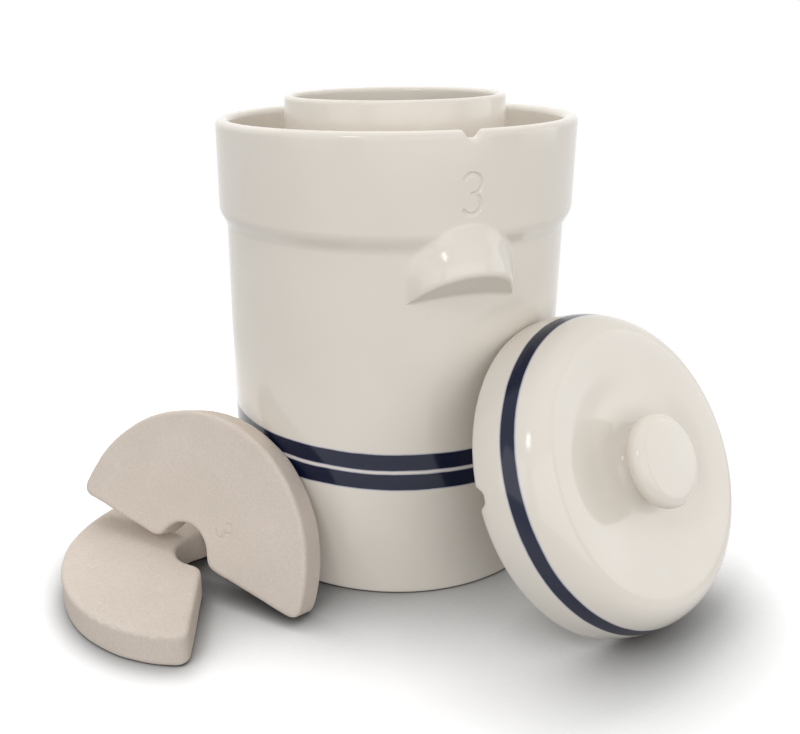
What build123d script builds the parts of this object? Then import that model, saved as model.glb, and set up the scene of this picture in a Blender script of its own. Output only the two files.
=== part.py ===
from build123d import *
import math
import os

os.makedirs("parts", exist_ok=True)

# A stoneware pickling crock with a water channel round its neck, its lid and two half weights.
# The crock stands on its base with the origin in the middle of it. Its front, where the
# numeral, the rim notch and one lug are, faces -Y. The lid leans on the crock, and one half
# weight leans on the other and on the crock.

# Crock body, a plain cylinder open at the seam where the shoulder is joined on
body_radius = 128.5
body_wall = 8.5
base_thickness = 10
seam_height = 246
foot_round = 3
inside_round = 14

# Shoulder, which turns in under the water channel and forms its trough, over the seam
shoulder_rise = 16
trough_thickness = 10
trough_round = 6
trough_lip = 7
mouth_round = 6
step_rise = 11
step_tall = 14
step_angle = 35

# Collar, the outer wall of the water channel
collar_step = 5.5
collar_wall = 10
channel_depth = 63
rim_notch_width = 15
rim_notch_depth = 5

# Neck, the inner wall of the water channel and the mouth of the crock
neck_radius = 82
neck_wall = 6.6
neck_flare = 3.4
neck_rise = 15

# Pressed capacity numeral on the collar, above the front lug and the collar's seam
numeral_height = 28
numeral_foot = 2
numeral_stroke = 2.2
numeral_sweep = 235
numeral_depth = 1.2

# Lugs, whose underside slopes in from the lip, with the middle of the lip at the seam
lug_half_width = 36
lug_reach = 24
lug_lip_rise = 18
lug_dome_rise = 28
lug_slope_angle = 39
lug_lip_round = 2.5

# Cobalt stripes, sunk flush into the body and the lid
stripe_width = 12
stripe_gap = 3.2
stripe_base = 86
stripe_depth = 0.4
lid_stripe_width = 8.8
lid_stripe_base = 25

# Lid, heights measured from its open rim
lid_radius = 112
lid_wall = 8
dome_width = 24
ridge_height = 50.5
dish_height = 43
flare_radius = 34
waist_radius = 22
waist_height = 52.5
lid_notch_width = 17
lid_notch_depth = 5.5
lid_notch_turn = 171

# Knob, luted on the boss in the middle of the lid
knob_radius = 31.4
knob_nose = 7.5
knob_undercut = 1.5
knob_crown = 0.8

# Half weights
weight_radius = 107
weight_thickness = 25
weight_notch_radius = 22
weight_corner = 8
weight_face_round = 6
weight_back_round = 3

# Resting places: a bearing is counted from the crock's front towards +X, in degrees
seat_gap = 0.3
lid_bearing = 28.2
lid_facing_angle = 22.2
lid_lean_angle = 28.6
upper_bearing = -76.5
upper_facing_angle = -47.3
upper_lean_angle = 20.8
lower_turn_angle = 73.2
lower_shift_x = 2.6
lower_shift_y = -10.6

# Working values
overrun = 20
ring_steps = 720
roll_steps = 40

inside_radius = body_radius - body_wall
step_height = seam_height + step_rise
step_top = step_height + step_tall
shoulder_underside = seam_height + shoulder_rise
channel_floor = shoulder_underside + trough_thickness
collar_seam = channel_floor + trough_lip
collar_radius = body_radius + collar_step
collar_inside = collar_radius - collar_wall
rim_height = channel_floor + channel_depth
lug_foot = seam_height - lug_lip_rise
neck_height = rim_height + neck_rise
neck_inside = neck_radius - neck_wall
neck_foot = neck_radius + neck_flare
neck_foot_inside = neck_inside + neck_flare
ridge_radius = lid_radius - dome_width
ceiling_height = ridge_height - lid_wall
dish_underside = dish_height - lid_wall
rim_round = lid_wall / 2


def toward(bearing):
    """Level direction that points away from the crock's axis at this bearing."""
    angle = math.radians(bearing)
    return Vector(math.sin(angle), -math.cos(angle), 0)


def standoff(edge_points, bearing, reach):
    """How far from the crock's axis a piece stands when its edge comes to this reach."""
    out = toward(bearing)
    side = toward(bearing + 90)
    distances = []
    for point in edge_points:
        across = point.dot(side)
        if abs(across) < reach:
            distances.append(math.sqrt(reach**2 - across**2) - point.dot(out))
    return max(distances)


def leaning_axes(facing, lean, roll):
    """Directions of a tilted plate: along it, up it, and out of its face."""
    face = toward(facing) * math.cos(math.radians(lean)) + Vector(0, 0, math.sin(math.radians(lean)))
    level = toward(facing + 90)
    rise = face.cross(level)
    turn = math.radians(roll)
    along = level * math.cos(turn) + rise * math.sin(turn)
    return along, face.cross(along), face


# The crock's outer surface, which the lugs are fitted to
with BuildSketch(Plane.XZ) as crock_outline:
    with BuildLine():
        Polyline((0, 0), (body_radius, 0), (body_radius, step_height))
        step_start = Vector(math.sin(math.radians(step_angle)), math.cos(math.radians(step_angle)))
        Spline(
            (body_radius, step_height),
            (collar_radius, step_top),
            tangents=(step_start, (0, 1)),
        )
        Polyline((collar_radius, step_top), (collar_radius, rim_height), (0, rim_height), (0, 0))
    make_face()

# One profile serves each stripe and the groove that it lies in
with BuildSketch(Plane.XZ) as lower_stripe_profile:
    with Locations((body_radius, stripe_base)):
        Rectangle(stripe_depth, stripe_width, align=(Align.MAX, Align.MIN))

with BuildSketch(Plane.XZ) as upper_stripe_profile:
    with Locations((body_radius, stripe_base + stripe_width + stripe_gap)):
        Rectangle(stripe_depth, stripe_width, align=(Align.MAX, Align.MIN))

# Crock body
with BuildPart() as crock_body:
    with BuildSketch(Plane.XZ):
        with BuildLine():
            Line((0, 0), (body_radius - foot_round, 0))
            CenterArc((body_radius - foot_round, foot_round), foot_round, -90, 90)
            Line((body_radius, foot_round), (body_radius, seam_height))
            Line((body_radius, seam_height), (inside_radius, seam_height))
            Line((inside_radius, seam_height), (inside_radius, base_thickness + inside_round))
            CenterArc(
                (inside_radius - inside_round, base_thickness + inside_round), inside_round, -90, 90
            )
            Line((inside_radius - inside_round, base_thickness), (0, base_thickness))
            Line((0, base_thickness), (0, 0))
        make_face()
    revolve(axis=Axis.Z)
    revolve(lower_stripe_profile.sketch, axis=Axis.Z, mode=Mode.SUBTRACT)
    revolve(upper_stripe_profile.sketch, axis=Axis.Z, mode=Mode.SUBTRACT)

crock_body.part.label = "crock_body"
export_step(crock_body.part, "parts/crock_body.step")

with BuildPart() as lower_stripe:
    revolve(lower_stripe_profile.sketch, axis=Axis.Z)

lower_stripe.part.label = "lower_stripe"
export_step(lower_stripe.part, "parts/lower_stripe.step")

with BuildPart() as upper_stripe:
    revolve(upper_stripe_profile.sketch, axis=Axis.Z)

upper_stripe.part.label = "upper_stripe"
export_step(upper_stripe.part, "parts/upper_stripe.step")

# Shoulder, with a short lip at each side that the collar and the neck are joined to
with BuildPart() as shoulder:
    with BuildSketch(Plane.XZ):
        with BuildLine():
            Line((inside_radius, seam_height), (body_radius, seam_height))
            Line((body_radius, seam_height), (body_radius, step_height))
            Spline(
                (body_radius, step_height),
                (collar_radius, step_top),
                tangents=(step_start, (0, 1)),
            )
            Line((collar_radius, step_top), (collar_radius, collar_seam))
            Line((collar_radius, collar_seam), (collar_inside, collar_seam))
            Line((collar_inside, collar_seam), (collar_inside, channel_floor + trough_round))
            CenterArc(
                (collar_inside - trough_round, channel_floor + trough_round), trough_round, -90, 90
            )
            Line(
                (collar_inside - trough_round, channel_floor), (neck_foot + trough_round, channel_floor)
            )
            CenterArc(
                (neck_foot + trough_round, channel_floor + trough_round), trough_round, 180, 90
            )
            Line((neck_foot, channel_floor + trough_round), (neck_foot, collar_seam))
            Line((neck_foot, collar_seam), (neck_foot_inside, collar_seam))
            Line((neck_foot_inside, collar_seam), (neck_foot_inside, shoulder_underside + mouth_round))
            CenterArc(
                (neck_foot_inside + mouth_round, shoulder_underside + mouth_round), mouth_round, 180, 90
            )
            Line(
                (neck_foot_inside + mouth_round, shoulder_underside),
                (inside_radius - inside_round, shoulder_underside),
            )
            CenterArc(
                (inside_radius - inside_round, shoulder_underside - inside_round), inside_round, 0, 90
            )
            Line((inside_radius, shoulder_underside - inside_round), (inside_radius, seam_height))
        make_face()
    revolve(axis=Axis.Z)

shoulder.part.label = "shoulder"
export_step(shoulder.part, "parts/shoulder.step")

# Collar, with a half-round notch in its rim and the pressed numeral
notch_circle = (rim_notch_depth**2 + (rim_notch_width / 2) ** 2) / (2 * rim_notch_depth)
numeral_bowl = (numeral_height - numeral_stroke) / 4
numeral_middle = collar_seam + numeral_foot + numeral_height / 2
with BuildPart() as collar:
    with BuildSketch(Plane.XZ):
        with BuildLine():
            Line((collar_inside, collar_seam), (collar_radius, collar_seam))
            Line((collar_radius, collar_seam), (collar_radius, rim_height - collar_wall / 2))
            CenterArc(
                (collar_radius - collar_wall / 2, rim_height - collar_wall / 2), collar_wall / 2, 0, 180
            )
            Line((collar_inside, rim_height - collar_wall / 2), (collar_inside, collar_seam))
        make_face()
    revolve(axis=Axis.Z)
    with BuildSketch(Plane.XZ.offset(collar_inside - overrun)):
        with Locations((0, rim_height - rim_notch_depth + notch_circle)):
            Circle(notch_circle)
    extrude(amount=collar_wall + 2 * overrun, mode=Mode.SUBTRACT)
    with BuildSketch(Plane.XZ.offset(collar_radius - numeral_depth)):
        for bowl_height, bowl_start in (
            (numeral_middle + numeral_bowl, -90),
            (numeral_middle - numeral_bowl, 90 - numeral_sweep),
        ):
            with BuildLine():
                CenterArc((0, bowl_height), numeral_bowl, bowl_start, numeral_sweep)
            trace(line_width=numeral_stroke)
    extrude(amount=overrun, mode=Mode.SUBTRACT)

collar.part.label = "collar"
export_step(collar.part, "parts/collar.step")

# Neck
with BuildPart() as neck:
    with BuildSketch(Plane.XZ):
        with BuildLine():
            Line((neck_foot_inside, collar_seam), (neck_foot, collar_seam))
            Line((neck_foot, collar_seam), (neck_radius, neck_height - neck_wall / 2))
            CenterArc(
                (neck_radius - neck_wall / 2, neck_height - neck_wall / 2), neck_wall / 2, 0, 180
            )
            Line((neck_inside, neck_height - neck_wall / 2), (neck_foot_inside, collar_seam))
        make_face()
    revolve(axis=Axis.Z)

neck.part.label = "neck"
export_step(neck.part, "parts/neck.step")

# Lugs: a dome on the crock's wall, cut off below by a face that slopes in and down to the wall,
# which leaves an arched lip
dome_radius = (lug_half_width**2 + lug_reach**2) / (2 * lug_reach)
dome_setback = dome_radius - lug_reach
dome_height = (lug_lip_rise + lug_dome_rise) / math.sqrt(1 - (dome_setback / dome_radius) ** 2)
dome_centre = Vector(0, dome_setback - body_radius, lug_foot)
dome_plane = Plane(origin=dome_centre, x_dir=(1, 0, 0), z_dir=(0, -1, 0))
dome_axis = Axis(dome_centre, (0, 0, 1))
slope_turn = math.radians(lug_slope_angle)
slope_way = Vector(-math.cos(slope_turn), math.sin(slope_turn))
slope_start = Vector(-body_radius, lug_foot) - slope_way * dome_radius
slope_end = Vector(-body_radius, lug_foot) + slope_way * 2 * lug_reach
slope_bottom = lug_foot - 2 * dome_height
with BuildPart() as front_lug:
    with BuildSketch(dome_plane):
        with BuildLine():
            EllipticalCenterArc((0, 0), dome_radius, dome_height, start_angle=-90, arc_size=180)
            Line((0, dome_height), (0, -dome_height))
        make_face()
    revolve(axis=dome_axis, revolution_arc=-180)
    with BuildSketch(Plane.YZ):
        with BuildLine():
            Polyline(
                slope_start,
                slope_end,
                (slope_end.X, slope_bottom),
                (slope_start.X, slope_bottom),
                slope_start,
            )
        make_face()
    extrude(amount=2 * dome_radius, both=True, mode=Mode.SUBTRACT)
    fillet(front_lug.edges().sort_by(Axis.Y)[0], radius=lug_lip_round)
    revolve(crock_outline.sketch, axis=Axis.Z, mode=Mode.SUBTRACT)

front_lug.part.label = "front_lug"
export_step(front_lug.part, "parts/front_lug.step")

with BuildPart() as back_lug:
    mirror(front_lug.part, about=Plane.XZ)

back_lug.part.label = "back_lug"
export_step(back_lug.part, "parts/back_lug.step")

# The lid's resting place: its rim touches the floor below and comes up to the crock above
lid_across, lid_rise, lid_out = leaning_axes(lid_facing_angle, lid_lean_angle, 0)
lid_edge = []
for step in range(ring_steps):
    angle = 2 * math.pi * step / ring_steps
    outward = lid_across * math.cos(angle) + lid_rise * math.sin(angle)
    lid_edge.append(outward * (lid_radius - rim_round) + lid_out * rim_round)
lid_distance = standoff(lid_edge, lid_bearing, body_radius + seat_gap + rim_round)
lid_lift = rim_round - min(point.Z for point in lid_edge)
lid_place = toward(lid_bearing) * lid_distance + Vector(0, 0, lid_lift)
lid_section = Plane(origin=lid_place, x_dir=lid_across, z_dir=lid_across.cross(lid_out))
lid_axis = Axis(lid_place, lid_out)

with BuildSketch(lid_section) as lid_stripe_profile:
    with Locations((ridge_radius, rim_round)):
        Ellipse(dome_width, ridge_height - rim_round)
        Ellipse(
            dome_width - stripe_depth,
            ridge_height - rim_round - stripe_depth,
            mode=Mode.SUBTRACT,
        )
    with Locations((ridge_radius, lid_stripe_base)):
        Rectangle(
            lid_radius, lid_stripe_width, align=(Align.MIN, Align.MIN), mode=Mode.INTERSECT
        )

with BuildPart() as lid_stripe:
    revolve(lid_stripe_profile.sketch, axis=lid_axis)

lid_stripe.part.label = "lid_stripe"
export_step(lid_stripe.part, "parts/lid_stripe.step")

# Lid shell, with two opposite notches in its rim that let gas out under water
lid_notch_circle = (lid_notch_depth**2 + (lid_notch_width / 2) ** 2) / (2 * lid_notch_depth)
lid_notch_angle = math.radians(lid_notch_turn)
lid_notch_way = lid_across * math.cos(lid_notch_angle) + lid_rise * math.sin(lid_notch_angle)
with BuildPart() as lid_shell:
    with BuildSketch(lid_section):
        with BuildLine():
            CenterArc((lid_radius - rim_round, rim_round), rim_round, 180, 180)
            EllipticalCenterArc(
                (ridge_radius, rim_round),
                dome_width,
                ridge_height - rim_round,
                start_angle=0,
                arc_size=90,
            )
            Spline(
                (ridge_radius, ridge_height), (flare_radius, dish_height), tangents=((-1, 0), (-1, 0))
            )
            EllipticalCenterArc(
                (flare_radius, waist_height),
                flare_radius - waist_radius,
                waist_height - dish_height,
                start_angle=180,
                arc_size=90,
            )
            Polyline(
                (waist_radius, waist_height),
                (0, waist_height),
                (0, dish_underside),
                (flare_radius, dish_underside),
            )
            Spline(
                (flare_radius, dish_underside), (ridge_radius, ceiling_height), tangents=((1, 0), (1, 0))
            )
            EllipticalCenterArc(
                (ridge_radius, rim_round),
                dome_width - lid_wall,
                ceiling_height - rim_round,
                start_angle=0,
                arc_size=90,
            )
        make_face()
    revolve(axis=lid_axis)
    revolve(lid_stripe_profile.sketch, axis=lid_axis, mode=Mode.SUBTRACT)
    with BuildSketch(Plane(origin=lid_place, x_dir=lid_out, z_dir=lid_notch_way)):
        with Locations((lid_notch_depth - lid_notch_circle, 0)):
            Circle(lid_notch_circle)
    extrude(amount=lid_radius + overrun, both=True, mode=Mode.SUBTRACT)

lid_shell.part.label = "lid_shell"
export_step(lid_shell.part, "parts/lid_shell.step")

# Knob
knob_top = waist_height + knob_undercut + 2 * knob_nose
with BuildPart() as lid_knob:
    with BuildSketch(lid_section):
        with BuildLine():
            Line((0, waist_height), (waist_radius, waist_height))
            Line((waist_radius, waist_height), (knob_radius - knob_nose, waist_height + knob_undercut))
            CenterArc((knob_radius - knob_nose, knob_top - knob_nose), knob_nose, -90, 180)
            Spline(
                (knob_radius - knob_nose, knob_top),
                (0, knob_top + knob_crown),
                tangents=((-1, 0), (-1, 0)),
            )
            Line((0, knob_top + knob_crown), (0, waist_height))
        make_face()
    revolve(axis=lid_axis)

lid_knob.part.label = "lid_knob"
export_step(lid_knob.part, "parts/lid_knob.step")


def half_weight(plane):
    """Half a disc with a half-round notch in its straight side, its back on this plane."""
    with BuildPart() as half:
        with BuildSketch(plane) as outline:
            Circle(weight_radius)
            Rectangle(
                2 * weight_radius, weight_radius, align=(Align.CENTER, Align.MAX), mode=Mode.SUBTRACT
            )
            Circle(weight_notch_radius, mode=Mode.SUBTRACT)
            fillet(outline.vertices(), weight_corner)
        extrude(amount=weight_thickness)
        layers = half.faces().sort_by(Axis(plane.origin, plane.z_dir))
        fillet(layers[-1].edges(), weight_face_round)
        layers = half.faces().sort_by(Axis(plane.origin, plane.z_dir))
        fillet(layers[0].edges(), weight_back_round)
    return half


def upper_axes(roll):
    """Axes of the leaning half at this roll, with its heights at the floor and on the lower half."""
    along, rise, face = leaning_axes(upper_facing_angle, upper_lean_angle, roll)
    outer_across = math.sqrt((weight_radius - weight_corner) ** 2 - weight_corner**2)
    notch_across = math.sqrt((weight_notch_radius + weight_corner) ** 2 - weight_corner**2)
    corner_level = (rise * weight_corner + face * weight_back_round).Z
    corner_drop = (weight_corner - weight_back_round) * math.cos(math.radians(upper_lean_angle))
    floor_height = corner_level + outer_across * along.Z - corner_drop - weight_back_round
    rest_height = corner_level - notch_across * along.Z - corner_drop - weight_back_round
    return along, rise, face, floor_height, rest_height


# The leaning half is rolled until one corner is on the floor and the side of its notch on the
# flat half's top
roll_low = -45
roll_high = 0
for step in range(roll_steps):
    upper_roll = (roll_low + roll_high) / 2
    upper_along, upper_rise, upper_face, floor_height, rest_height = upper_axes(upper_roll)
    if rest_height - floor_height > weight_thickness + seat_gap:
        roll_low = upper_roll
    else:
        roll_high = upper_roll

upper_edge = []
for step in range(ring_steps + 1):
    angle = math.pi * step / ring_steps
    outward = upper_along * math.cos(angle) + upper_rise * math.sin(angle)
    upper_edge.append(outward * (weight_radius - weight_back_round) + upper_face * weight_back_round)
upper_distance = standoff(upper_edge, upper_bearing, body_radius + seat_gap + weight_back_round)
upper_place = toward(upper_bearing) * upper_distance - Vector(0, 0, floor_height)
weight_upper = half_weight(Plane(origin=upper_place, x_dir=upper_along, z_dir=upper_face))

weight_upper.part.label = "weight_upper"
export_step(weight_upper.part, "parts/weight_upper.step")

# The flat half lies under the leaning one, turned so that its round side faces away
lower_place = Vector(upper_place.X + lower_shift_x, upper_place.Y + lower_shift_y, 0)
lower_angle = math.radians(lower_turn_angle)
lower_way = Vector(math.cos(lower_angle), math.sin(lower_angle), 0)
weight_lower = half_weight(Plane(origin=lower_place, x_dir=lower_way, z_dir=(0, 0, 1)))

weight_lower.part.label = "weight_lower"
export_step(weight_lower.part, "parts/weight_lower.step")
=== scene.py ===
import math
import bmesh
import bpy
import numpy as np
from mathutils import Matrix, Vector, noise


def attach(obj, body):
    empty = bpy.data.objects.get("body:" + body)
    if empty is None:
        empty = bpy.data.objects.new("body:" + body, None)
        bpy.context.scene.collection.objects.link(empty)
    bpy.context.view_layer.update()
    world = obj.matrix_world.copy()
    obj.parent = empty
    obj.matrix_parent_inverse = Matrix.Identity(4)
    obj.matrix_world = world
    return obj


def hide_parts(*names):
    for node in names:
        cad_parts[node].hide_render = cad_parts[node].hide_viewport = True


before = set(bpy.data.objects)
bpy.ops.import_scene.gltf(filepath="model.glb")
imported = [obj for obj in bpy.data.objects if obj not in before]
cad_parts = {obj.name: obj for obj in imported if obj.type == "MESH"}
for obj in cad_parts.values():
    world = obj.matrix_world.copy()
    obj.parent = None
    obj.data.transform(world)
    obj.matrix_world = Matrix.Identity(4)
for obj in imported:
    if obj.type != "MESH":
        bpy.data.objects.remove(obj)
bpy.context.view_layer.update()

# Sizes are in millimetres, as the potter would measure the pieces; MM turns them to metres.
MM = 0.001

# Crock
BODY_RADIUS = 128.5
FOOT_ROUND = 3
INSIDE_RADIUS = 120
INSIDE_ROUND = 14
BASE_THICKNESS = 10
SHOULDER_UNDERSIDE = 262
CHANNEL_FLOOR = 272
TROUGH_ROUND = 6
MOUTH_ROUND = 6
COLLAR_RADIUS = 134
COLLAR_WALL = 10
RIM_HEIGHT = 335
NECK_RADIUS = 82
NECK_WALL = 6.6
NECK_FLARE = 3.4
NECK_HEIGHT = 350
NECK_SEAM = 279

# The step that widens the body to the collar: where it starts and ends, how round its start is,
# and how steeply it sets out
STEP_HEIGHT = 257
STEP_TOP = 271
STEP_SOFTNESS = 0.5
STEP_LEAVING = 0.6

# Lug, part of a dome on the wall. Its join is as wide as the first width at the lip and widens to
# the second over the join's rise. It fades into the plain wall between the two bearings.
LUG_CENTRE = 113.5
LUG_FOOT = 228
LUG_RADIUS = 39
LUG_HEIGHT = 49.8
LUG_SLOPE = 0.81
LUG_JOIN = (5, 12)
LUG_JOIN_RISE = 26
LUG_BAND = (212, 282)
LUG_BEARINGS = (19.5, 24)
LIP_ROUND = 4
LIP_SHARE = 0.45
ROOT_ROUND = 2.2
ROOT_SHARE = 0.35

# The lip's edge is sought up to this far over the underside's root, to this error, and its round
# starts from a point this far above it.
LIP_SEARCH = 30
LIP_ERROR = 1e-4
OVER_LIP = 3

# Numeral and rim notch, which lie within the front span of bearings. The numeral's edges reach
# this far into its stroke and out of it, and the notch fades out this far below the rim.
NUMERAL_BAND = (280, 311)
NUMERAL_MIDDLE = 295
NUMERAL_BOWL = 6.45
NUMERAL_STROKE = 2.2
NUMERAL_EDGE = (0.7, 0.6)
NUMERAL_SWEEP = (-90, 145)
NUMERAL_DEPTH = 1.2
NOTCH_DEPTH = 5
NOTCH_HALF_WIDTH = 5.4
NOTCH_FADE = 16
FRONT_SPAN = 10

# Cobalt bands, as lowest and highest edge
BODY_BANDS = ((86, 98), (101.2, 113.2))
LID_BAND = (25, 33.8)

# Lid, heights from its open rim
LID_RADIUS = 112
LID_WALL = 8
RIDGE_RADIUS = 88
RIDGE_HEIGHT = 50.5
DISH_HEIGHT = 43
DISH_UNDERSIDE = DISH_HEIGHT - LID_WALL
FLARE_RADIUS = 34
WAIST_RADIUS = 22
WAIST_HEIGHT = 52.5
KNOB_RADIUS = 31.4
KNOB_NOSE = 7.5
KNOB_TOP = 69
KNOB_CROWN = 0.8
LID_NOTCH_TURN = 171
LID_NOTCH_DEPTH = 5.5
LID_NOTCH_HALF_WIDTH = 6
LID_NOTCH_SPAN = 8
LID_PLACE = Vector((85.757229, -159.936556, 96.907394))
LID_ACROSS = Vector((0.925871, 0.377841, 0))
LID_OUT = Vector((0.331738, -0.812899, 0.478692))

# Where the knob's underside tucks in from its nose, and then turns down into the waist
KNOB_TUCK = (2.2, 1.4)
WAIST_TURN = ((0.9, 0.4), (0.15, -1.2))

# Half weights
WEIGHT_RADIUS = 107
WEIGHT_THICKNESS = 25
WEIGHT_NOTCH = 22
WEIGHT_CORNER = 9.4
WEIGHT_FACE_SOFT = 4
WEIGHT_BACK_SOFT = 3.5
WEIGHT_SLACK = 0.3
WEIGHT_NUMERAL_BOWL = 3.6
WEIGHT_NUMERAL_DEPTH = 0.7
WEIGHT_NUMERAL_EDGE = (0.2, 1.3)
UPPER_PLACE = (-174.149364, -41.809563, 18.867046)
UPPER_ALONG = (0.607371, -0.769273, -0.198292)
UPPER_RISE = (0.398883, 0.079452, 0.913553)
UPPER_FACE = (-0.687017, -0.633961, 0.355107)
UPPER_NUMERAL = ((28.1, 31.8), 48.5)
LOWER_PLACE = (-171.549364, -52.409563, 0)
LOWER_ALONG = (0.289032, 0.957319, 0)
LOWER_RISE = (-0.957319, 0.289032, 0)
LOWER_FACE = (0, 0, 1)

# Chips on the flat weight's edge, as place and size
CHIP_SOFT = 1.2
LOWER_CHIPS = (
    ((-83, 70, 26.5), 4.2),
    ((-88, 62, 27.5), 4.6),
    ((-95, 52.5, 26.6), 4.4),
    ((-98.6, 44, 27), 4.0),
    ((-102.5, 36, 26.6), 4.4),
    ((-105.4, 24, 27.2), 5.0),
    ((-106.2, 15, 27), 3.6),
)

# Waves that the mould and the hand leave in a weight, as height and length
WEIGHT_WAVES = ((0.35, 31), (0.14, 9))

# How a weight is drawn in to its skin: the mesh's grain, the rounds, the reach over which the
# slope is felt, and the least slope that counts
WEIGHT_GRAIN = 1.2
DRAWING_ROUNDS = 6
SLOPE_REACH = 0.2
LEAST_SLOPE = 0.3

# Rows of mesh down the lug band: over the dome, round the lip, under it, round the root and down
# the wall, and then the rows from the band's top up to the top of the rim
LUG_ROWS = (44, 10, 16, 6, 14)
ROWS_TO_RIM = 100

# Bearings with fine steps, as first, last and step: both lugs, the numeral and the notches
CROCK_FINE = ((-24, -5, 0.5), (-5, 5, 0.125), (5, 24, 0.5), (156, 204, 0.5))
CROCK_COARSE = 2
LID_FINE_SPAN = 7
LID_FINE = 0.4
LID_COARSE = 1.5

# Where the outlines stop short of the axis; a middle point closes each end
FOOT_CENTRE = 30
INSIDE_CENTRE = 20
LID_CENTRE = 6

# A height far from every band, for the insides and undersides that carry none
FAR_FROM_BANDS = 1000


def arc(centre, radius, start, end, steps, squash=1):
    """Points on an arc, in degrees from the outward direction; squash flattens its height."""
    out, up = centre
    return [
        (out + radius * math.cos(turn), up + radius * squash * math.sin(turn))
        for turn in np.radians(np.linspace(start, end, steps))
    ]


def run(start, end, steps):
    """Points along a straight run, without its last point."""
    start = np.array(start)
    way = np.array(end) - start
    return [tuple(start + way * k / steps) for k in range(steps)]


def ease(low, high, value):
    """Smooth step from 0 at low to 1 at high."""
    share = np.clip((value - low) / (high - low), 0, 1)
    return share * share * (3 - 2 * share)


def blend_out(first, second, width):
    """The outer of two radii, with a fillet of this width where they meet."""
    share = np.clip(0.5 + 0.5 * (second - first) / width, 0, 1)
    return first + (second - first) * share + width * share * (1 - share)


def wall_radius(height):
    """Radius of the crock's outer wall, with the round that steps out to the collar."""
    over = height - STEP_HEIGHT
    over = 0.5 * (over + np.sqrt(over * over + STEP_SOFTNESS))
    share = np.clip(over / (STEP_TOP - STEP_HEIGHT), 0, 1)
    leaving = STEP_LEAVING * (share**3 - 2 * share**2 + share)
    return BODY_RADIUS + (COLLAR_RADIUS - BODY_RADIUS) * (leaving + 3 * share**2 - 2 * share**3)


def dome_radius(bearing, height):
    """Distance from the crock's axis to a lug's dome, at a bearing in radians from its middle."""
    level = np.clip(1 - ((height - LUG_FOOT) / LUG_HEIGHT) ** 2, 0, 1)
    inner = LUG_RADIUS * LUG_RADIUS * level - (LUG_CENTRE * math.sin(bearing)) ** 2
    return LUG_CENTRE * math.cos(bearing) + np.sign(inner) * np.sqrt(np.abs(inner))


def lug_outer(bearing, height):
    """Radius of the wall with the lug luted on: a tight join at its lip, a soft one above."""
    tight, soft = LUG_JOIN
    width = tight + (soft - tight) * ease(LUG_FOOT, LUG_FOOT + LUG_JOIN_RISE, height)
    return blend_out(wall_radius(height), dome_radius(bearing, height), width)


def lug_under(bearing, height):
    """Radius of the lug's underside, which slopes in and down to the wall."""
    return (BODY_RADIUS + (height - LUG_FOOT) / LUG_SLOPE) / math.cos(bearing)


def rounded(before, corner, after, reach, steps):
    """Points round a corner between two ways, starting and ending this far from it."""
    before, corner, after = (np.array(p, dtype=float) for p in (before, corner, after))
    first = corner + (before - corner) * reach / max(np.linalg.norm(before - corner), 1e-6)
    last = corner + (after - corner) * reach / max(np.linalg.norm(after - corner), 1e-6)
    share = np.linspace(0, 1, steps)[:, None]
    return (1 - share) ** 2 * first + 2 * share * (1 - share) * corner + share**2 * last


def lug_column(bearing):
    """Radii and heights down one line of the lug band, over the dome, its lip and underside."""
    low, high = LUG_BAND
    over_rows, lip_rows, under_rows, root_rows, wall_rows = LUG_ROWS
    plain_heights = np.linspace(high, low, sum(LUG_ROWS))
    strength = 1 - ease(LUG_BEARINGS[0], LUG_BEARINGS[1], abs(math.degrees(bearing)))
    if strength == 0:
        return wall_radius(plain_heights), plain_heights
    root = LUG_FOOT + LUG_SLOPE * BODY_RADIUS * (math.cos(bearing) - 1)
    lip, over = root, root + LIP_SEARCH
    while over - lip > LIP_ERROR:
        middle = (lip + over) / 2
        if lug_outer(bearing, middle) > lug_under(bearing, middle):
            lip = middle
        else:
            over = middle
    lip_point = (lug_outer(bearing, lip), lip)
    root_point = (BODY_RADIUS, root)
    depth = math.dist(lip_point, root_point)
    lip_reach = min(LIP_ROUND, LIP_SHARE * depth)
    root_reach = min(ROOT_ROUND, ROOT_SHARE * depth)
    above = (lug_outer(bearing, lip + OVER_LIP), lip + OVER_LIP)
    lip_turn = rounded(above, lip_point, root_point, lip_reach, lip_rows)
    root_turn = rounded(lip_point, root_point, (BODY_RADIUS, low), root_reach, root_rows)
    over_heights = np.linspace(high, lip_turn[0][1], over_rows + 1)[:-1]
    over_turn = np.stack([lug_outer(bearing, over_heights), over_heights], axis=1)
    under_share = np.linspace(0, 1, under_rows + 2)[1:-1, None]
    under_turn = lip_turn[-1] + (root_turn[0] - lip_turn[-1]) * under_share
    wall_heights = np.linspace(root_turn[-1][1], low, wall_rows + 1)[1:]
    wall = np.stack([wall_radius(wall_heights), wall_heights], axis=1)
    radii, heights = np.concatenate([over_turn, lip_turn, under_turn, root_turn, wall]).T
    if strength == 1:
        return radii, heights
    heights = plain_heights + (heights - plain_heights) * strength
    return wall_radius(heights), heights


def numeral_distance(across, rise, bowl):
    """Distance from the line of a figure 3 whose two bowls have this radius, on the flat."""
    nearest = np.full(np.shape(across), 1e3)
    start, end = NUMERAL_SWEEP
    tip = math.radians(end)
    for side in (1, -1):
        level = rise * side - bowl
        ring = np.abs(np.hypot(across, level) - bowl)
        angle = np.degrees(np.arctan2(level, across))
        angle = np.where(angle < start, angle + 360, angle)
        tip_gap = np.hypot(across - bowl * math.cos(tip), level - bowl * math.sin(tip))
        foot_gap = np.hypot(across, level + bowl)
        ends = np.minimum(tip_gap, foot_gap)
        nearest = np.minimum(nearest, np.where(angle <= end, ring, ends))
    return nearest


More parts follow.
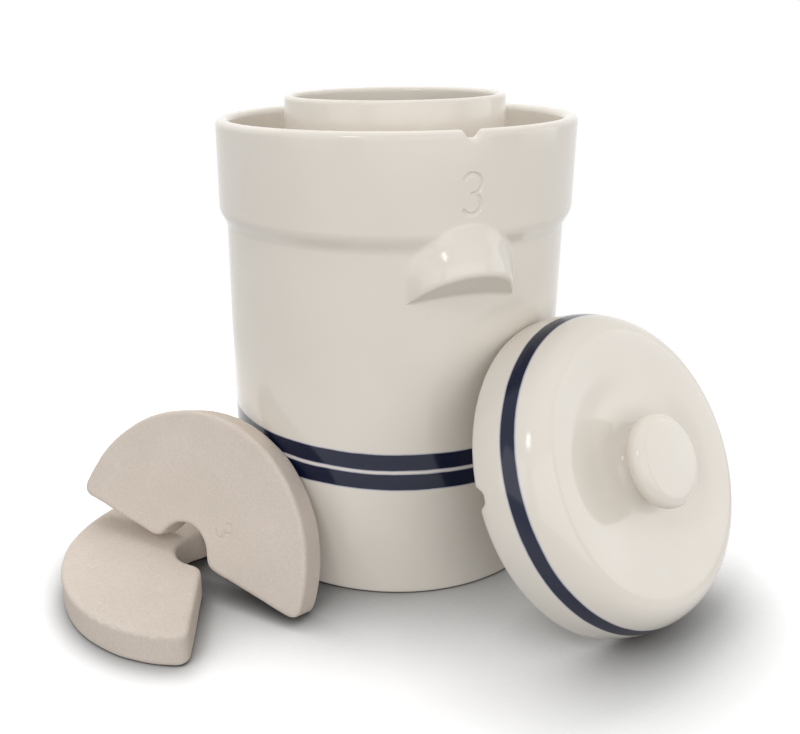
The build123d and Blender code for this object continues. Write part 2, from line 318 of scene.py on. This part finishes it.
def ring_bearings(fine_spans, coarse):
    """Bearings round a ring in degrees: fine steps in the given spans, coarse ones elsewhere."""
    start = here = fine_spans[0][0]
    spans = []
    for low, high, step in fine_spans:
        if low > here:
            spans.append((here, low, coarse))
        spans.append((low, high, step))
        here = high
    spans.append((here, start + 360, coarse))
    bearings = []
    for low, high, step in spans:
        steps = max(1, round((high - low) / step))
        bearings += [low + (high - low) * k / steps for k in range(steps)]
    return np.array(bearings)


def skin(name, points, start_cap, end_cap):
    """Closed mesh of rings, each row one ring of points in mm, with a middle point at each end."""
    rows, columns = points.shape[:2]
    verts = [tuple(p) for p in points.reshape(-1, 3) * MM]
    verts += [tuple(np.array(start_cap) * MM), tuple(np.array(end_cap) * MM)]
    first = rows * columns
    last = first + 1
    faces = []
    for row in range(rows - 1):
        here = row * columns
        above = here + columns
        for column in range(columns):
            after = (column + 1) % columns
            faces.append((here + column, here + after, above + after, above + column))
    top = (rows - 1) * columns
    for column in range(columns):
        after = (column + 1) % columns
        faces.append((first, after, column))
        faces.append((last, top + column, top + after))
    mesh = bpy.data.meshes.new(name)
    mesh.from_pydata(verts, [], faces)
    mesh.update()
    return smooth_piece(name, mesh)


def smooth_piece(name, mesh):
    """An object of this mesh, shaded smooth, in the scene."""
    mesh.polygons.foreach_set("use_smooth", [True] * len(mesh.polygons))
    piece = bpy.data.objects.new(name, mesh)
    bpy.context.collection.objects.link(piece)
    return piece


def mark_height(piece, heights):
    """Keeps each point's height over the foot or rim, in mm, for the bands in the glaze."""
    layer = piece.data.attributes.new("band_height", "FLOAT", "POINT")
    layer.data.foreach_set("value", np.array(heights, dtype=float))


def crock_outline():
    """The crock's outline below the lug band, and above it over rim and neck to the inside."""
    foot_corner = BODY_RADIUS - FOOT_ROUND
    foot = run((FOOT_CENTRE, 0), (foot_corner, 0), 5)
    foot += arc((foot_corner, FOOT_ROUND), FOOT_ROUND, -90, 0, 9)
    foot += run((BODY_RADIUS, FOOT_ROUND), (BODY_RADIUS, LUG_BAND[0]), 40)[1:]

    half_collar = COLLAR_WALL / 2
    collar_inside = COLLAR_RADIUS - COLLAR_WALL
    collar_top = RIM_HEIGHT - half_collar
    above = run((COLLAR_RADIUS, LUG_BAND[1]), (COLLAR_RADIUS, NUMERAL_BAND[1]), 78)[1:]
    above += run((COLLAR_RADIUS, NUMERAL_BAND[1]), (COLLAR_RADIUS, collar_top), 12)
    above += arc((COLLAR_RADIUS - half_collar, collar_top), half_collar, 0, 180, 21)

    neck_foot = NECK_RADIUS + NECK_FLARE
    channel_middle = CHANNEL_FLOOR + 20
    trough_top = CHANNEL_FLOOR + TROUGH_ROUND
    trough_outer = collar_inside - TROUGH_ROUND
    trough_inner = neck_foot + TROUGH_ROUND
    above += run((collar_inside, collar_top), (collar_inside, channel_middle), 14)[1:]
    above += run((collar_inside, channel_middle), (collar_inside, trough_top), 4)
    above += arc((trough_outer, trough_top), TROUGH_ROUND, 0, -90, 8)
    above += run((trough_outer, CHANNEL_FLOOR), (trough_inner, CHANNEL_FLOOR), 6)[1:]
    above += arc((trough_inner, trough_top), TROUGH_ROUND, -90, -180, 8)

    half_neck = NECK_WALL / 2
    neck_top = NECK_HEIGHT - half_neck
    neck_inside = NECK_RADIUS - NECK_WALL
    mouth = neck_inside + NECK_FLARE
    mouth_corner = mouth + MOUTH_ROUND
    mouth_foot = SHOULDER_UNDERSIDE + MOUTH_ROUND
    above += run((neck_foot, NECK_SEAM), (NECK_RADIUS, neck_top), 20)[1:]
    above += arc((NECK_RADIUS - half_neck, neck_top), half_neck, 0, 180, 15)
    above += run((neck_inside, neck_top), (mouth, NECK_SEAM), 20)[1:]
    above += run((mouth, NECK_SEAM), (mouth, mouth_foot), 3)
    above += arc((mouth_corner, mouth_foot), MOUTH_ROUND, 180, 270, 7)

    inside_corner = INSIDE_RADIUS - INSIDE_ROUND
    inside_top = SHOULDER_UNDERSIDE - INSIDE_ROUND
    inside_foot = BASE_THICKNESS + INSIDE_ROUND
    above += run((mouth_corner, SHOULDER_UNDERSIDE), (inside_corner, SHOULDER_UNDERSIDE), 4)[1:]
    above += arc((inside_corner, inside_top), INSIDE_ROUND, 90, 0, 9)
    above += run((INSIDE_RADIUS, inside_top), (INSIDE_RADIUS, inside_foot), 24)[1:]
    above += arc((inside_corner, inside_foot), INSIDE_ROUND, 0, -90, 10)
    above += run((inside_corner, BASE_THICKNESS), (INSIDE_CENTRE, BASE_THICKNESS), 5)[1:]
    return np.array(foot), np.array(above)


def press_front(radii, heights, off_front):
    """Presses the numeral into the collar and the notch into its rim, over the front lug."""
    across = radii * math.sin(math.radians(off_front))
    on_collar = (heights > NUMERAL_BAND[0]) & (radii > COLLAR_RADIUS - 1)
    gap = numeral_distance(across, heights - NUMERAL_MIDDLE, NUMERAL_BOWL)
    half = NUMERAL_STROKE / 2
    depth = NUMERAL_DEPTH * (1 - ease(half - NUMERAL_EDGE[0], half + NUMERAL_EDGE[1], gap))
    radii = radii - np.where(on_collar, depth, 0)
    on_rim = radii > COLLAR_RADIUS - COLLAR_WALL - 1
    sink = NOTCH_DEPTH * np.exp(-((across / NOTCH_HALF_WIDTH) ** 4))
    fade = ease(RIM_HEIGHT - NOTCH_FADE, RIM_HEIGHT, heights)
    return radii, heights - np.where(on_rim, sink * fade, 0)


def make_crock():
    """The whole fired crock in one skin: body, shoulder, collar, neck, lugs and pressed marks."""
    foot, above = crock_outline()
    columns = []
    for bearing in ring_bearings(CROCK_FINE, CROCK_COARSE):
        off_front = (bearing + 180) % 360 - 180
        off_back = (bearing % 360) - 180
        off_lug = off_front if abs(off_front) < 90 else off_back
        band_radii, band_heights = lug_column(math.radians(off_lug))
        radii = np.concatenate([foot[:, 0], band_radii[::-1], above[:, 0]])
        heights = np.concatenate([foot[:, 1], band_heights[::-1], above[:, 1]])
        if abs(off_front) < FRONT_SPAN:
            radii, heights = press_front(radii, heights, off_front)
        way = math.radians(bearing)
        columns.append(
            np.stack([radii * math.sin(way), -radii * math.cos(way), heights], axis=1)
        )
    points = np.stack(columns, axis=1)
    piece = skin("crock", points, (0, 0, 0), (0, 0, BASE_THICKNESS))
    heights = points[:, :, 2].copy()
    heights[len(foot) + sum(LUG_ROWS) + ROWS_TO_RIM:] = FAR_FROM_BANDS
    mark_height(piece, np.concatenate([heights.reshape(-1), [0, FAR_FROM_BANDS]]))
    return piece


def dish_slope(start, end):
    """Points of the soft slope between the lid's flare and its ridge, without both ends."""
    share = np.linspace(0, 1, 30)[1:-1]
    rise = 3 * share**2 - 2 * share**3
    return [
        (start[0] + (end[0] - start[0]) * s, start[1] + (end[1] - start[1]) * r)
        for s, r in zip(share, rise)
    ]


def lid_outline():
    """The lid's outline from the knob's crown over the dome to the rim, and back inside."""
    nose_middle = KNOB_RADIUS - KNOB_NOSE
    outline = [
        (nose_middle * share, KNOB_TOP + KNOB_CROWN * (1 - share * share))
        for share in np.linspace(0.06, 1, 12)[:-1]
    ]
    outline += arc((nose_middle, KNOB_TOP - KNOB_NOSE), KNOB_NOSE, 90, -78, 26)
    outline += [(nose_middle - KNOB_TUCK[0], WAIST_HEIGHT + KNOB_TUCK[1])]
    outline += [(WAIST_RADIUS + out, WAIST_HEIGHT + up) for out, up in WAIST_TURN]

    flare_width = FLARE_RADIUS - WAIST_RADIUS
    flare_squash = (WAIST_HEIGHT - DISH_HEIGHT) / flare_width
    outline += arc((FLARE_RADIUS, WAIST_HEIGHT), flare_width, 190, 270, 14, flare_squash)
    outline += dish_slope((FLARE_RADIUS, DISH_HEIGHT), (RIDGE_RADIUS, RIDGE_HEIGHT))

    half = LID_WALL / 2
    dome_width = LID_RADIUS - RIDGE_RADIUS
    dome_squash = (RIDGE_HEIGHT - half) / dome_width
    outline += arc((RIDGE_RADIUS, half), dome_width, 90, 0, 46, dome_squash)
    outline += arc((LID_RADIUS - half, half), half, 0, -180, 17)[1:]

    inner_width = LID_RADIUS - LID_WALL - RIDGE_RADIUS
    ceiling = RIDGE_HEIGHT - LID_WALL
    inner_squash = (ceiling - half) / inner_width
    outline += arc((RIDGE_RADIUS, half), inner_width, 0, 90, 24, inner_squash)[1:]
    outline += dish_slope((RIDGE_RADIUS, ceiling), (FLARE_RADIUS, DISH_UNDERSIDE))
    outline += run((FLARE_RADIUS, DISH_UNDERSIDE), (LID_CENTRE, DISH_UNDERSIDE), 4)
    return np.array(outline)


def make_lid():
    """Lid and knob in one skin, round the axis on which the lid leans."""
    outline = lid_outline()
    notch_turns = (LID_NOTCH_TURN, LID_NOTCH_TURN + 180)
    fine_spans = [(turn - LID_FINE_SPAN, turn + LID_FINE_SPAN, LID_FINE) for turn in notch_turns]
    bearings = ring_bearings(fine_spans, LID_COARSE)
    lid_rise = LID_OUT.cross(LID_ACROSS)
    columns = []
    for bearing in bearings:
        radii, heights = outline.T
        for turn in notch_turns:
            off = (bearing - turn + 180) % 360 - 180
            if abs(off) < LID_NOTCH_SPAN:
                across = LID_RADIUS * math.sin(math.radians(off))
                lift = LID_NOTCH_DEPTH * math.exp(-((across / LID_NOTCH_HALF_WIDTH) ** 4))
                fade = (1 - ease(0, NOTCH_FADE, heights)) * (radii > RIDGE_RADIUS)
                heights = heights + lift * fade
        way = math.radians(bearing)
        out = np.array(LID_ACROSS * math.cos(way) + lid_rise * math.sin(way))
        along = heights[:, None] * np.array(LID_OUT)
        columns.append(np.array(LID_PLACE) + radii[:, None] * out + along)
    points = np.stack(columns, axis=1)
    crown = LID_PLACE + LID_OUT * (KNOB_TOP + KNOB_CROWN)
    under = LID_PLACE + LID_OUT * DISH_UNDERSIDE
    piece = skin("lid", points[::-1], under, crown)
    band = outline[:, 1].copy()
    band[int(np.argmin(band)):] = -FAR_FROM_BANDS
    heights = np.repeat(band[::-1], len(bearings))
    mark_height(piece, np.concatenate([heights, [-FAR_FROM_BANDS, FAR_FROM_BANDS]]))
    return piece


def half_weight_depth(points, chips, numeral):
    """Distance of points from a half weight's skin, in its own frame, more than zero outside."""
    across, up, level = points.T
    reach = np.hypot(across, up)
    sawn_side = blend_out(reach - WEIGHT_RADIUS, -up, WEIGHT_CORNER)
    outline = blend_out(sawn_side, WEIGHT_NOTCH - reach, WEIGHT_CORNER)
    half = WEIGHT_THICKNESS / 2
    slab = np.abs(level - half) - half
    soft = np.where(level > half, WEIGHT_FACE_SOFT, WEIGHT_BACK_SOFT)
    depth = blend_out(outline, slab, soft)
    for place, size in chips:
        chip = size - np.linalg.norm(points - np.array(place), axis=1)
        depth = blend_out(depth, chip, CHIP_SOFT)
    if numeral:
        middle, outward = numeral
        turn = math.radians(outward)
        side = (across - middle[0]) * math.sin(turn) - (up - middle[1]) * math.cos(turn)
        rise = (across - middle[0]) * math.cos(turn) + (up - middle[1]) * math.sin(turn)
        gap = numeral_distance(side, rise, WEIGHT_NUMERAL_BOWL)
        press = WEIGHT_NUMERAL_DEPTH * (1 - ease(*WEIGHT_NUMERAL_EDGE, gap))
        depth = depth + np.where(level > half, press, 0)
    return depth


def half_weight_slope(points, chips):
    """How that distance grows along each axis, without the numeral."""
    rises = [
        half_weight_depth(points + step, chips, None)
        - half_weight_depth(points - step, chips, None)
        for step in np.eye(3) * SLOPE_REACH
    ]
    return np.stack(rises, axis=1) / (2 * SLOPE_REACH)


def sawn_blank(name):
    """A mesh of even grain in a half weight's plain shape, with sharp edges."""
    shape = bmesh.new()
    turns = np.linspace(0, math.pi, 97)
    rim = [(WEIGHT_RADIUS * math.cos(t), WEIGHT_RADIUS * math.sin(t), 0) for t in turns]
    rim += [(WEIGHT_NOTCH * math.cos(t), WEIGHT_NOTCH * math.sin(t), 0) for t in turns[::-4]]
    base = shape.faces.new([shape.verts.new(p) for p in rim])
    grown = bmesh.ops.extrude_face_region(shape, geom=[base])
    top = [v for v in grown["geom"] if isinstance(v, bmesh.types.BMVert)]
    bmesh.ops.translate(shape, verts=top, vec=(0, 0, WEIGHT_THICKNESS))
    bmesh.ops.recalc_face_normals(shape, faces=shape.faces)
    sawn_mesh = bpy.data.meshes.new(name)
    shape.to_mesh(sawn_mesh)
    shape.free()
    sawn = bpy.data.objects.new(name, sawn_mesh)
    bpy.context.collection.objects.link(sawn)
    even = sawn.modifiers.new("even", "REMESH")
    even.mode = "VOXEL"
    even.voxel_size = WEIGHT_GRAIN
    ready = sawn.evaluated_get(bpy.context.evaluated_depsgraph_get())
    mesh = bpy.data.meshes.new_from_object(ready)
    bpy.data.objects.remove(sawn)
    bpy.data.meshes.remove(sawn_mesh)
    return mesh


def refine_face(mesh, middle):
    """Splits the mesh of a weight's face finer round this place, for the numeral."""
    shape = bmesh.new()
    shape.from_mesh(mesh)
    reach = 3.2 * WEIGHT_NUMERAL_BOWL
    face_level = WEIGHT_THICKNESS - 2
    near = [
        edge for edge in shape.edges
        if all(v.co.z > face_level and math.dist(v.co.xy, middle) < reach for v in edge.verts)
    ]
    bmesh.ops.subdivide_edges(shape, edges=near, cuts=2, use_grid_fill=True)
    shape.to_mesh(mesh)
    shape.free()


def make_weight(name, place, along, rise, face, chips, numeral):
    """A pressed half weight: a sawn shape drawn in to its rounded skin, with its unevenness."""
    mesh = sawn_blank(name)
    if numeral:
        refine_face(mesh, numeral[0])
    points = np.empty(len(mesh.vertices) * 3)
    mesh.vertices.foreach_get("co", points)
    points = points.reshape(-1, 3)
    waves = np.array(
        [sum(tall * noise.noise(Vector(p) / long) for tall, long in WEIGHT_WAVES) for p in points]
    )
    for _ in range(DRAWING_ROUNDS):
        depth = half_weight_depth(points, chips, numeral) + WEIGHT_SLACK + waves
        slope = half_weight_slope(points, chips)
        steep = np.maximum((slope**2).sum(axis=1), LEAST_SLOPE)
        points = points - depth[:, None] * slope / steep[:, None]
    placed = (np.array(place) + points @ np.array([along, rise, face])) * MM
    mesh.vertices.foreach_set("co", placed.reshape(-1))
    mesh.update()
    mesh.name = name
    return smooth_piece(name, mesh)


crock = make_crock()
lid = make_lid()
weight_upper = make_weight(
    "half_weight_leaning", UPPER_PLACE, UPPER_ALONG, UPPER_RISE, UPPER_FACE, (), UPPER_NUMERAL
)
weight_lower = make_weight(
    "half_weight_flat", LOWER_PLACE, LOWER_ALONG, LOWER_RISE, LOWER_FACE, LOWER_CHIPS, None
)


def linear(hex_colour):
    """sRGB hex to the linear colour that the shaders take."""
    parts = [int(hex_colour[k:k + 2], 16) / 255 for k in (1, 3, 5)]
    return [p / 12.92 if p <= 0.04045 else ((p + 0.055) / 1.055) ** 2.4 for p in parts] + [1]


def add(tree, kind, settings=(), inputs=(), links=()):
    """Adds a node to a tree with its settings, socket values and links into its sockets."""
    made = tree.nodes.new(kind)
    for key, value in dict(settings).items():
        setattr(made, key, value)
    for key, value in dict(inputs).items():
        made.inputs[key].default_value = value
    for key, source in dict(links).items():
        tree.links.new(source, made.inputs[key])
    return made


def fresh(name):
    """A new material with an empty tree."""
    material = bpy.data.materials.new(name)
    material.use_nodes = True
    material.node_tree.nodes.clear()
    return material, material.node_tree


# Cream glaze over stoneware: a thick, glossy tin-white coat, fired. Its tone drifts in soft
# clouds, its skin is slightly wavy and it carries a few iron specks, a fraction of a millimetre
# each. The cobalt lies under it as a near-black blue with a paler, bleeding edge.
CREAM = ("#dad3c8", "#e1dbd2")
CREAM_CLOUD = 60
IRON_SPECK = "#9d8a70"
SPECK_SPACING = 9
SPECK_SHARE = 0.72
SPECK_STRENGTH = 0.35
GLAZE_WAVE = 14

# The cobalt's two coats, as how far each runs past the band's edge, its colour and its strength;
# the edge itself starts a little inside, and wanders by hand
COBALT_COATS = ((1.3, "#5a6aa0", 0.75), (0.35, "#0b1430", 1.0))
COBALT_INSIDE = 0.25
COBALT_WANDER = 0.25
COBALT_WANDER_LENGTH = 25


def make_glaze(name, bands):
    """The glaze, with a cobalt band between each lowest and highest edge."""
    material, tree = fresh(name)
    place = add(tree, "ShaderNodeTexCoord").outputs["Object"]
    cloud = add(
        tree, "ShaderNodeTexNoise",
        inputs={"Scale": 1 / (CREAM_CLOUD * MM), "Detail": 2.0}, links={"Vector": place},
    )
    cream = add(
        tree, "ShaderNodeMix", settings={"data_type": "RGBA"},
        inputs={6: linear(CREAM[0]), 7: linear(CREAM[1])}, links={0: cloud.outputs["Fac"]},
    )
    grains = add(
        tree, "ShaderNodeTexVoronoi",
        inputs={"Scale": 1 / (SPECK_SPACING * MM), "Randomness": 1.0}, links={"Vector": place},
    )
    speck_core = add(
        tree, "ShaderNodeMapRange",
        inputs={"From Min": 0.02, "From Max": 0.055, "To Min": 1.0, "To Max": 0.0},
        links={"Value": grains.outputs["Distance"]},
    )
    some = add(
        tree, "ShaderNodeMath", settings={"operation": "GREATER_THAN"},
        inputs={1: SPECK_SHARE}, links={0: grains.outputs["Color"]},
    )
    speck = add(
        tree, "ShaderNodeMath", settings={"operation": "MULTIPLY"},
        links={0: speck_core.outputs[0], 1: some.outputs[0]},
    )
    speck_soft = add(
        tree, "ShaderNodeMath", settings={"operation": "MULTIPLY"},
        inputs={1: SPECK_STRENGTH}, links={0: speck.outputs[0]},
    )
    specked = add(
        tree, "ShaderNodeMix", settings={"data_type": "RGBA"},
        inputs={7: linear(IRON_SPECK)}, links={0: speck_soft.outputs[0], 6: cream.outputs[2]},
    )
    wobble = add(
        tree, "ShaderNodeTexNoise",
        inputs={"Scale": 1 / (COBALT_WANDER_LENGTH * MM), "Detail": 3.0},
        links={"Vector": place},
    )
    shift = add(
        tree, "ShaderNodeMapRange",
        inputs={
            "From Min": 0.3, "From Max": 0.7, "To Min": -COBALT_WANDER, "To Max": COBALT_WANDER
        },
        links={"Value": wobble.outputs["Fac"]},
    )
    height = add(tree, "ShaderNodeAttribute", settings={"attribute_name": "band_height"})
    level = add(
        tree, "ShaderNodeMath", settings={"operation": "ADD"},
        links={0: height.outputs["Fac"], 1: shift.outputs[0]},
    )
    colour = specked.outputs[2]
    for low, high in bands:
        middle = (low + high) / 2
        edge = (high - low) / 2
        for spread, tint, strength in COBALT_COATS:
            reach = add(
                tree, "ShaderNodeMath", settings={"operation": "SUBTRACT"},
                inputs={1: middle}, links={0: level.outputs[0]},
            )
            away = add(
                tree, "ShaderNodeMath", settings={"operation": "ABSOLUTE"},
                links={0: reach.outputs[0]},
            )
            cover = add(
                tree, "ShaderNodeMapRange",
                inputs={
                    "From Min": edge - COBALT_INSIDE, "From Max": edge + spread,
                    "To Min": strength, "To Max": 0.0,
                },
                links={"Value": away.outputs[0]},
            )
            colour = add(
                tree, "ShaderNodeMix", settings={"data_type": "RGBA"},
                inputs={7: linear(tint)}, links={0: cover.outputs[0], 6: colour},
            ).outputs[2]
    skin_waves = add(
        tree, "ShaderNodeTexNoise",
        inputs={"Scale": 1 / (GLAZE_WAVE * MM), "Detail": 2.0, "Roughness": 0.35},
        links={"Vector": place},
    )
    bump = add(
        tree, "ShaderNodeBump", inputs={"Strength": 0.12, "Distance": 0.5 * MM},
        links={"Height": skin_waves.outputs["Fac"]},
    )
    shader = add(
        tree, "ShaderNodeBsdfPrincipled", inputs={"Roughness": 0.12, "IOR": 1.42},
        links={"Base Color": colour, "Normal": bump.outputs[0]},
    )
    add(tree, "ShaderNodeOutputMaterial", links={"Surface": shader.outputs[0]})
    return material


crock.data.materials.append(make_glaze("cream_glaze_over_stoneware", BODY_BANDS))
lid.data.materials.append(make_glaze("cream_glaze_on_lid", (LID_BAND,)))

# Bisque: unglazed fired stoneware, pressed in a mould, so it is matt, finely sandy and a little
# stained. Its sand is finer than a millimetre, and is drawn at 1.6 mm so that it shows.
BISQUE = ("#c9beb2", "#dacfc5")
BISQUE_SHADE = "#b8aba1"
BISQUE_STAIN = 45
BISQUE_SAND = 1.6


def make_bisque():
    """The bare clay of both half weights."""
    material, tree = fresh("bisque_stoneware")
    place = add(tree, "ShaderNodeTexCoord").outputs["Object"]
    stain = add(
        tree, "ShaderNodeTexNoise",
        inputs={"Scale": 1 / (BISQUE_STAIN * MM), "Detail": 4.0}, links={"Vector": place},
    )
    ground = add(
        tree, "ShaderNodeMix", settings={"data_type": "RGBA"},
        inputs={6: linear(BISQUE[0]), 7: linear(BISQUE[1])}, links={0: stain.outputs["Fac"]},
    )
    sand = add(
        tree, "ShaderNodeTexNoise",
        inputs={"Scale": 1 / (BISQUE_SAND * MM), "Detail": 3.0, "Roughness": 0.7},
        links={"Vector": place},
    )
    sand_share = add(
        tree, "ShaderNodeMapRange",
        inputs={"From Min": 0.35, "From Max": 0.65, "To Min": 0.0, "To Max": 0.35},
        links={"Value": sand.outputs["Fac"]},
    )
    body = add(
        tree, "ShaderNodeMix", settings={"data_type": "RGBA"},
        inputs={7: linear(BISQUE_SHADE)}, links={0: sand_share.outputs[0], 6: ground.outputs[2]},
    )
    bump = add(
        tree, "ShaderNodeBump", inputs={"Strength": 0.6, "Distance": 0.4 * MM},
        links={"Height": sand.outputs["Fac"]},
    )
    shader = add(
        tree, "ShaderNodeBsdfPrincipled",
        inputs={"Roughness": 0.85, "IOR": 1.5, "Specular IOR Level": 0.25},
        links={"Base Color": body.outputs[2], "Normal": bump.outputs[0]},
    )
    add(tree, "ShaderNodeOutputMaterial", links={"Surface": shader.outputs[0]})
    return material


bisque = make_bisque()
weight_upper.data.materials.append(bisque)
weight_lower.data.materials.append(bisque)

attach(crock, "jar")
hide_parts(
    "crock_body", "lower_stripe", "upper_stripe", "shoulder", "collar", "neck",
    "front_lug", "back_lug",
)
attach(lid, "lid")
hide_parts("lid_shell", "lid_stripe", "lid_knob")
for piece, node in ((weight_upper, "weight_upper"), (weight_lower, "weight_lower")):
    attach(piece, node)
    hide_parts(node)

# Studio: a white floor that fades to white light away from the pieces, and soft lamps. The floor
# throws back a smaller share of light than the eye is shown, so that the pieces don't glow from
# below, and painted shade darkens its colour where a piece is nearer than the shade's reach, on
# top of the lamps' real shadows. From here on, distances are in metres.
FLOOR_BOUNCE = 0.35
FLOOR_SEEN = 1.15
# Reach and strength of the shade painted into the floor's colour near the pieces
FLOOR_PAINTED_SHADE_REACH = 100 * MM
FLOOR_PAINTED_SHADE_POWER = 1.3
FLOOR_FADE = (0.33, 0.55)
FLOOR_HALF = 20
SKY_LIGHT = 0.62
WHITE = linear("#ffffff")
BLACK = linear("#000000")


def grey(share):
    """A neutral surface that throws back this share of the light."""
    return (share, share, share, 1)


def seen_itself(tree):
    """1 where the eye, a reflection or glass sees the surface itself, 0 where it only lights."""
    rays = add(tree, "ShaderNodeLightPath")
    eye_or_gloss = add(
        tree, "ShaderNodeMath", settings={"operation": "MAXIMUM"},
        links={0: rays.outputs["Is Camera Ray"], 1: rays.outputs["Is Glossy Ray"]},
    )
    either = add(
        tree, "ShaderNodeMath", settings={"operation": "MAXIMUM"},
        links={0: eye_or_gloss.outputs[0], 1: rays.outputs["Is Transmission Ray"]},
    )
    return either.outputs[0]


floor_corners = [
    (-FLOOR_HALF, -FLOOR_HALF, 0), (FLOOR_HALF, -FLOOR_HALF, 0),
    (FLOOR_HALF, FLOOR_HALF, 0), (-FLOOR_HALF, FLOOR_HALF, 0),
]
floor_mesh = bpy.data.meshes.new("floor")
floor_mesh.from_pydata(floor_corners, [], [(0, 1, 2, 3)])
floor = bpy.data.objects.new("floor", floor_mesh)
bpy.context.collection.objects.link(floor)
floor_material, floor_tree = fresh("white_paper_floor")
floor_place = add(floor_tree, "ShaderNodeTexCoord").outputs["Object"]
distance = add(
    floor_tree, "ShaderNodeVectorMath", settings={"operation": "LENGTH"}, links={0: floor_place}
)
whiteness = add(
    floor_tree, "ShaderNodeMapRange",
    inputs={"From Min": FLOOR_FADE[0], "From Max": FLOOR_FADE[1], "To Min": 0.0, "To Max": 1.0},
    links={"Value": distance.outputs["Value"]},
)
floor_seen = seen_itself(floor_tree)
# Painted shade: ambient occlusion darkens the floor's seen colour towards black where a piece is
# near
near = add(
    floor_tree, "ShaderNodeAmbientOcclusion",
    settings={"samples": 16}, inputs={"Distance": FLOOR_PAINTED_SHADE_REACH},
)
painted_shade = add(
    floor_tree, "ShaderNodeMath", settings={"operation": "POWER"},
    inputs={1: FLOOR_PAINTED_SHADE_POWER}, links={0: near.outputs["AO"]},
)
floor_with_painted_shade = add(
    floor_tree, "ShaderNodeMix", settings={"data_type": "RGBA"},
    inputs={6: BLACK, 7: grey(FLOOR_SEEN)}, links={0: painted_shade.outputs[0]},
)
paper_colour = add(
    floor_tree, "ShaderNodeMix", settings={"data_type": "RGBA"},
    inputs={6: grey(FLOOR_BOUNCE)}, links={0: floor_seen, 7: floor_with_painted_shade.outputs[2]},
)
paper = add(floor_tree, "ShaderNodeBsdfDiffuse", links={"Color": paper_colour.outputs[2]})
white = add(floor_tree, "ShaderNodeEmission", inputs={"Color": WHITE})
over = add(
    floor_tree, "ShaderNodeMath", settings={"operation": "MULTIPLY"},
    links={0: floor_seen, 1: whiteness.outputs[0]},
)
surface = add(
    floor_tree, "ShaderNodeMixShader",
    links={0: over.outputs[0], 1: paper.outputs[0], 2: white.outputs[0]},
)
add(floor_tree, "ShaderNodeOutputMaterial", links={"Surface": surface.outputs[0]})
floor_mesh.materials.append(floor_material)

world = bpy.data.worlds.new("studio")
bpy.context.scene.world = world
world.use_nodes = True
world.node_tree.nodes.clear()
strength = add(
    world.node_tree, "ShaderNodeMapRange", inputs={"To Min": SKY_LIGHT, "To Max": 1.0},
    links={"Value": seen_itself(world.node_tree)},
)
sky = add(
    world.node_tree, "ShaderNodeBackground", inputs={"Color": WHITE},
    links={"Strength": strength.outputs[0]},
)
add(world.node_tree, "ShaderNodeOutputWorld", links={"Surface": sky.outputs[0]})


def lamp(name, place, aim, size, watts):
    """A soft rectangular lamp that the camera doesn't see, turned to what it lights."""
    data = bpy.data.lights.new(name, "AREA")
    data.shape = "RECTANGLE"
    data.size, data.size_y = size
    data.energy = watts
    light = bpy.data.objects.new(name, data)
    bpy.context.collection.objects.link(light)
    light.location = place
    light.visible_camera = False
    light.rotation_euler = (Vector(aim) - Vector(place)).to_track_quat("-Z", "Y").to_euler()
    return light


# The lamp overhead lights tops and floor but leaves no mirror image in the glaze, and the small
# window gives the sharp glints.
top_softbox = lamp("top_softbox", (0.05, 0.9, 1.6), (0.05, 0, 0), (1.6, 1.2), 19)
top_softbox.visible_glossy = False
lamp("front_softbox", (-0.05, -1.9, 0.72), (0, 0, 0.3), (3.2, 1.4), 17)
lamp("left_softbox", (-1.8, -0.6, 0.6), (0, 0, 0.17), (1.2, 1.0), 4)
lamp("right_softbox", (1.8, -0.5, 0.6), (0, 0, 0.17), (1.2, 1.0), 4)
lamp("window", (-1.1, -0.9, 1.5), (0, 0, 0.25), (0.28, 0.28), 3)

# Camera, fitted to the photograph: bearing, pitch and roll in degrees, sensor and lens in mm
CAMERA_PLACE = (-0.2622, -0.6490, 0.3928)
CAMERA_BEARING = 17.2
CAMERA_PITCH = -19.386
CAMERA_ROLL = -0.998
CAMERA_SENSOR = 36
CAMERA_LENS = 40.5
CAMERA_SHIFT = (0.10, -0.02125)
camera_data = bpy.data.cameras.new("camera")
camera_data.sensor_width = CAMERA_SENSOR
camera_data.lens = CAMERA_LENS
camera_data.shift_x, camera_data.shift_y = CAMERA_SHIFT
camera = bpy.data.objects.new("camera", camera_data)
bpy.context.collection.objects.link(camera)
camera.location = CAMERA_PLACE
yaw = math.radians(CAMERA_BEARING)
pitch = math.radians(CAMERA_PITCH)
roll = math.radians(CAMERA_ROLL)
ahead = Vector(
    (math.sin(yaw) * math.cos(pitch), math.cos(yaw) * math.cos(pitch), math.sin(pitch))
)
level = Vector((math.cos(yaw), -math.sin(yaw), 0))
upward = level.cross(ahead)
right = level * math.cos(roll) + upward * math.sin(roll)
up = upward * math.cos(roll) - level * math.sin(roll)
turned = [[right[k], up[k], -ahead[k]] for k in range(3)]
camera.rotation_euler = Matrix(turned).to_euler()
bpy.context.scene.camera = camera
bpy.context.scene.view_settings.view_transform = "Standard"
